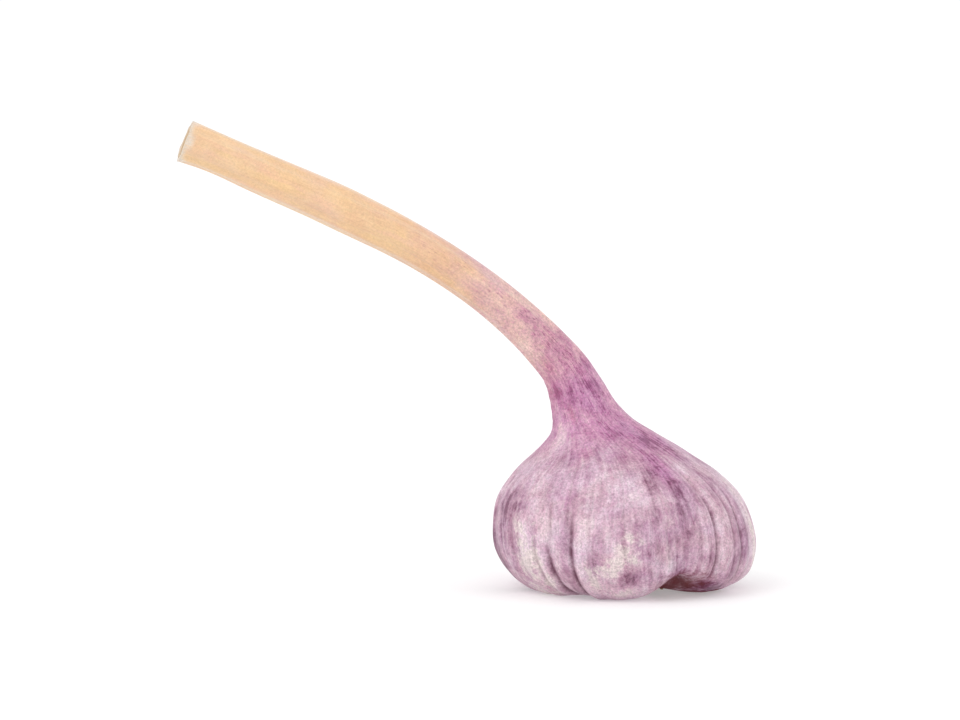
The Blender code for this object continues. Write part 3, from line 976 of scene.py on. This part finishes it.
# %% Colour from density
CLOVE_COLOURS = (
    (0.0, (220, 200, 207)),
    (0.2, (210, 184, 196)),
    (0.4, (199, 167, 182)),
    (0.6, (184, 147, 166)),
    (0.8, (162, 120, 143)),
    (1.0, (118, 72, 98)),
)
NECK_COLOURS = (
    (0.0, (222, 190, 196)),
    (0.25, (213, 174, 189)),
    (0.5, (200, 151, 178)),
    (0.75, (184, 127, 163)),
    (0.9, (166, 103, 142)),
    (1.0, (134, 73, 112)),
)
BEND_COLOURS = (
    (0.0, (226, 196, 182)),
    (0.25, (220, 183, 174)),
    (0.5, (206, 160, 166)),
    (0.75, (189, 131, 150)),
    (0.9, (168, 103, 130)),
    (1.0, (132, 70, 102)),
)
STRAW_COLOURS = (
    (0.0, (240, 209, 166)),
    (0.3, (231, 191, 150)),
    (0.6, (214, 166, 138)),
    (1.0, (178, 122, 124)),
)
YELLOW_STRAW, PINK_STRAW, RUDDY = srgb(236, 206, 140), srgb(234, 186, 162), srgb(166, 82, 120)
clove_colour = colour_ramp(density, CLOVE_COLOURS)
neck_colour = colour_ramp(density, NECK_COLOURS)
bend_colour = colour_ramp(density, BEND_COLOURS)
straw_colour = colour_ramp(density, STRAW_COLOURS)

stray = scaled(blotch, 0.5)
magenta = between(total(painted(tree, "magenta"), stray), 0.1, 0.9)
straw = between(total(painted(tree, "straw"), stray), 0.2, 0.9)
colour = mix_colour(magenta, clove_colour, neck_colour)
colour = mix_colour(painted(tree, "peach"), colour, bend_colour)
ruddy = product(painted(tree, "ruddy"), between(mottle, 0.2, 0.8, 0.45, 0.85))
colour = mix_colour(ruddy, colour, RUDDY)
yellow = effect(STREAKS, strands, around=1.6, along=0.08, offset=3.0)
pink = effect(STREAKS, strands, around=2.2, along=0.09, offset=31.0, low=0.48, high=0.68)
straw_colour = mix_colour(product(yellow, 0.3), straw_colour, YELLOW_STRAW)
straw_colour = mix_colour(product(pink, 0.34), straw_colour, PINK_STRAW)
colour = mix_colour(straw, colour, straw_colour)
print("colours in the ramps:", sum(map(len, (CLOVE_COLOURS, NECK_COLOURS, BEND_COLOURS, STRAW_COLOURS))))

# %% Tints, cream patches and the painted shade in the hollow
COOL, WARM = srgb(251, 249, 255), srgb(255, 252, 250)
# The dark brown serves the root plate's brown and, mostly, the painted shade in the hollow and under the
# right clove.
CREAM, PLATE_BROWN_AND_SHADE = srgb(216, 202, 198), srgb(112, 58, 58)
# The crease purple is part pigment and part painted shade in the creases.
CREASE_PURPLE_AND_SHADE, PAPER = srgb(88, 38, 62), srgb(224, 215, 203)

tint = effect(CLOUDS, millimetres, size=7.0, roughness=0.6, low=0.35, high=0.65)
colour = mix_colour(1.0, colour, mix_colour(tint, COOL, WARM), "MULTIPLY")
torn = product(painted(tree, "cream"), between(mottle, 0.2, 0.8, 1.7, 0.3))
colour = mix_colour(between(torn, 0.3, 1.0, 0.0, 0.75), colour, CREAM)
frayed = product(painted(tree, "rim"), between(fine, 0.0, 1.0, 0.4, 1.0))
colour = mix_colour(frayed, colour, PAPER)
light_grain = between(total(grain, scaled(fibres, 0.2)), 0.0, 1.0, 0.62, 1.38)
grey = add_node(tree, "ShaderNodeCombineColor", {0: light_grain, 1: light_grain, 2: light_grain})
grainy = mix_colour(1.0, colour, grey.outputs[0], "MULTIPLY")
colour = mix_colour(off_stalk, colour, grainy)
# Dark purple along the creases: part pigment, part painted shade.
crease_pigment_and_shade_share = product(painted(tree, "crease_pigment_and_shade"), between(mottle, 0.2, 0.8, 0.6, 1.0))
colour = mix_colour(crease_pigment_and_shade_share, colour, CREASE_PURPLE_AND_SHADE)
# The brown round the root plate, and painted shade: dark in the hollow under the head and low under the
# right clove.
brown_and_shade = total(painted(tree, "brown_and_shade"), scaled(mottle, 0.5), scaled(fine, 0.2))
colour = mix_colour(between(brown_and_shade, 0.2, 1.0, 0.0, 0.9), colour, PLATE_BROWN_AND_SHADE)
print("nodes for the colour:", len(tree.nodes))

# %% Surface of the skin
# Less gloss and sheen on the painted shade, so that it stays dark.
outside_shade = between(painted(tree, "brown_and_shade"), 0.0, 0.5, 1.0, 0.0)
tree.links.new(product(outside_shade, 0.4), shader.inputs["Specular IOR Level"])
sheen = between(skin_reach, *STALK_STARTS, 0.1, 0.6)
tree.links.new(product(outside_shade, sheen), shader.inputs["Sheen Weight"])
shader.inputs["Sheen Roughness"].default_value = 0.45
ridged = total(scaled(fine, -0.8), scaled(mottle, 0.8), scaled(grain, 0.3))
join_surface(shader, colour, between(mottle, 0.0, 1.0, 0.46, 0.6), ridged, 0.6)
skin.data.materials.append(skin_finish)
print("nodes in the skin:", len(tree.nodes))

# %% [markdown]
# ## The root plate
#
# Under the head is the root plate, the plant's true stem: a corky brown disc that the cloves and the roots
# grow from. It is turned from a short profile. Noise then roughens it, as cork breaks up when it dries.

# %% Turn the plate
PLATE_SIDES = 96
#    distance from the middle and height above the table, mm
PLATE_PROFILE = (
    (0.0, 2.0),
    (1.5, 2.05),
    (3.0, 2.1),
    (4.5, 2.15),
    (6.0, 2.25),
    (7.2, 2.4),
    (8.2, 2.65),
    (8.9, 3.05),
    (9.3, 3.6),
    (9.4, 4.3),
    (0.0, 4.6),
)
CORK_ROUGHNESS, LARGE_LUMP, SMALL_LUMP = 0.16, 1.1, 0.4
PLATE_HEART = Vector((0.0, 0.0, 5.0))  # the lumps stand out from this point

plate = turned(PLATE_PROFILE, PLATE_SIDES)
bmesh.ops.subdivide_edges(plate, edges=plate.edges, cuts=1, use_grid_fill=True)
for vertex in plate.verts:
    lump = noise.noise(vertex.co / LARGE_LUMP) + 0.5 * noise.noise(vertex.co / SMALL_LUMP)
    vertex.co += CORK_ROUGHNESS * lump * (vertex.co - PLATE_HEART).normalized()
root_plate = finished_piece("root_plate", plate, [vertex.co + ROOT_MIDDLE for vertex in plate.verts])
print("root plate triangles:", triangles(root_plate))

# %% [markdown]
# ## The trimmed roots
#
# A garlic head is sold with its roots cut to stubs. They stand in rings round the plate, splay outwards,
# and no two are alike. One stub is a small circle extruded four times, each time a little further along a
# bend and a little thinner. A few dozen faces are enough for it, because there are many. A seeded draw
# gives each stub its place, length, bend and thickness, and all stay clear of the table.

# %% Grow the stubs
ROOT_ROWS = ((26, 8.0), (22, 6.3), (15, 4.5), (8, 2.4))  # count, distance from the middle, mm
ROOT_SIDES, ROOT_STEPS, ROOT_TAPER = 7, 4, 0.9
ROOT_RADIUS, ROOT_LENGTH, ROOT_BEND = (0.34, 0.55), (1.9, 2.7), (0.1, 0.9)
ROOT_FOOT, ROOT_CLEARANCE = 2.9, 0.2  # height of the feet, and the lowest that a tip may come, mm


def add_stub(roots, foot, outwards, radius, length, bend):
    """A tapered, slightly bent tube that grows down from its foot."""
    made = bmesh.ops.create_circle(roots, cap_ends=False, segments=ROOT_SIDES, radius=radius)
    bmesh.ops.translate(roots, verts=made["verts"], vec=foot)
    ring = list({edge for vertex in made["verts"] for edge in vertex.link_edges})
    for step in range(1, ROOT_STEPS + 1):
        grown = bmesh.ops.extrude_edge_only(roots, edges=ring)["geom"]
        verts = [item for item in grown if isinstance(item, bmesh.types.BMVert)]
        ring = [item for item in grown if isinstance(item, bmesh.types.BMEdge)]
        along = step / ROOT_STEPS
        move = outwards * (bend * along * length / ROOT_STEPS) - Vector((0, 0, length / ROOT_STEPS))
        bmesh.ops.translate(roots, verts=verts, vec=move)
        middle = sum((vertex.co for vertex in verts), Vector()) / len(verts)
        bmesh.ops.scale(roots, vec=[ROOT_TAPER] * 3, space=Matrix.Translation(-middle), verts=verts)
    bmesh.ops.edgeloop_fill(roots, edges=ring)


draw = random.Random(12)
roots = bmesh.new()
tips = []
for count, distance in ROOT_ROWS:
    for number in range(count):
        turn = math.tau * (number + draw.uniform(-0.3, 0.3)) / count
        outwards = Vector((math.cos(turn), math.sin(turn), 0.0))
        foot = outwards * (distance + draw.uniform(-0.3, 0.3)) + Vector((0.0, 0.0, ROOT_FOOT))
        length = min(draw.uniform(*ROOT_LENGTH), ROOT_FOOT - ROOT_CLEARANCE)
        bend = draw.uniform(*ROOT_BEND)
        add_stub(roots, foot, outwards, draw.uniform(*ROOT_RADIUS), length, bend)
        tips.append(ROOT_FOOT - length)
bmesh.ops.recalc_face_normals(roots, faces=roots.faces)
root_stubs = finished_piece("root_stubs", roots, [vertex.co + ROOT_MIDDLE for vertex in roots.verts])
print("stubs:", len(tips), "lowest tip, mm:", round(min(tips), 2))

# %% [markdown]
# ## The finish of the roots and the plate
#
# Dry roots and cork are the same straw brown, with dirt left in the hollows. Both materials use the shared
# clouds: large ones for the brown, small ones for the dirt and for the rough surface. The roots are paler.

# %% Cork and root finish
def plain_finish(name, pale, dark, dirt, size):
    """A dry, matt plant surface that is clouded from pale to dark, with dirt in small spots."""
    finish, tree, shader = new_finish(name)
    place = in_millimetres(tree)
    large = effect(CLOUDS, place, size=size, roughness=0.7)
    small = effect(CLOUDS, place, size=size / 5, roughness=0.7, low=0.5, high=0.7)
    colour = mix_colour(large, srgb(*dark), srgb(*pale))
    colour = mix_colour(product(small, 0.7), colour, srgb(*dirt))
    join_surface(shader, colour, between(large, 0.0, 1.0, 0.9, 0.75), small, 0.5)
    return finish


cork = plain_finish("corky_plate", (176, 142, 106), (128, 92, 66), (70, 46, 34), 2.0)
dry_root = plain_finish("dry_root", (206, 178, 138), (158, 120, 86), (88, 60, 42), 1.6)
root_plate.data.materials.append(cork)
root_stubs.data.materials.append(dry_root)
print("root finishes:", [piece.data.materials[0].name for piece in (root_plate, root_stubs)])

# %% [markdown]
# ## The cut end of the stalk
#
# The stalk was cut square. Inside the thin sheath lie the rolled leaf bases, one in another, round a stiff
# pithy core. The end is a disc turned from a stepped profile, so that each layer stands a little higher or
# lower than the next, and a slow wave keeps the layers from being perfect circles.

# %% Turn the cut end
END_SIDES = 120
#    share of the stalk's radius, and how far the layer is sunk, mm
END_PROFILE = (
    (0.0, 0.55),
    (0.18, 0.50),
    (0.34, 0.42),
    (0.46, 0.36),
    (0.50, 0.62),
    (0.53, 0.30),
    (0.63, 0.28),
    (0.66, 0.80),
    (0.69, 0.26),
    (0.77, 0.22),
    (0.80, 0.90),
    (0.83, 0.20),
    (0.90, 0.25),
    (0.92, 1.30),
    (0.0, 1.40),
)
LAYER_WAVES = ((2, 0.03, 5.0), (5, 0.02, -9.0))  # waves to a turn, size, drift from layer to layer

end = turned([(share, -sunk) for share, sunk in END_PROFILE], END_SIDES)
across, back, height = np.array([vertex.co for vertex in end.verts]).T
share, turn = np.hypot(across, back), np.arctan2(across, -back)
last = np.full_like(turn, END_REACH)
middle, _, _, normal = ring_axes(last)
wave = 1 + sum(size * np.sin(waves * turn + drift * share) for waves, size, drift in LAYER_WAVES)
places = middle + (share * wave)[:, None] * (smooth_skin(last, np.degrees(turn)) - middle)
stalk_end = finished_piece("stalk_end", end, places + height[:, None] * normal + STALK_SHIFT)
set_float(stalk_end.data, "share", share)
print("stalk end triangles:", triangles(stalk_end))

# %% Finish of the cut end
END_COLOURS = (
    (0.0, (226, 206, 168)),
    (0.45, (218, 190, 150)),
    (0.52, (196, 164, 130)),
    (0.60, (226, 202, 166)),
    (0.68, (200, 170, 136)),
    (0.76, (232, 212, 182)),
    (0.81, (204, 176, 146)),
    (0.90, (236, 222, 200)),
)
PITH_BROWN = srgb(150, 116, 86)

end_finish, tree, shader = new_finish("stalk_end")
pith = effect(CLOUDS, in_millimetres(tree), size=0.8, roughness=0.7, low=0.35, high=0.7)
colour = colour_ramp(painted(tree, "share"), END_COLOURS)
colour = mix_colour(product(pith, 0.25), colour, PITH_BROWN)
join_surface(shader, colour, between(pith, 0.0, 1.0, 0.7, 0.85), pith, 0.5)
stalk_end.data.materials.append(end_finish)
print("nodes in the cut end:", len(tree.nodes))
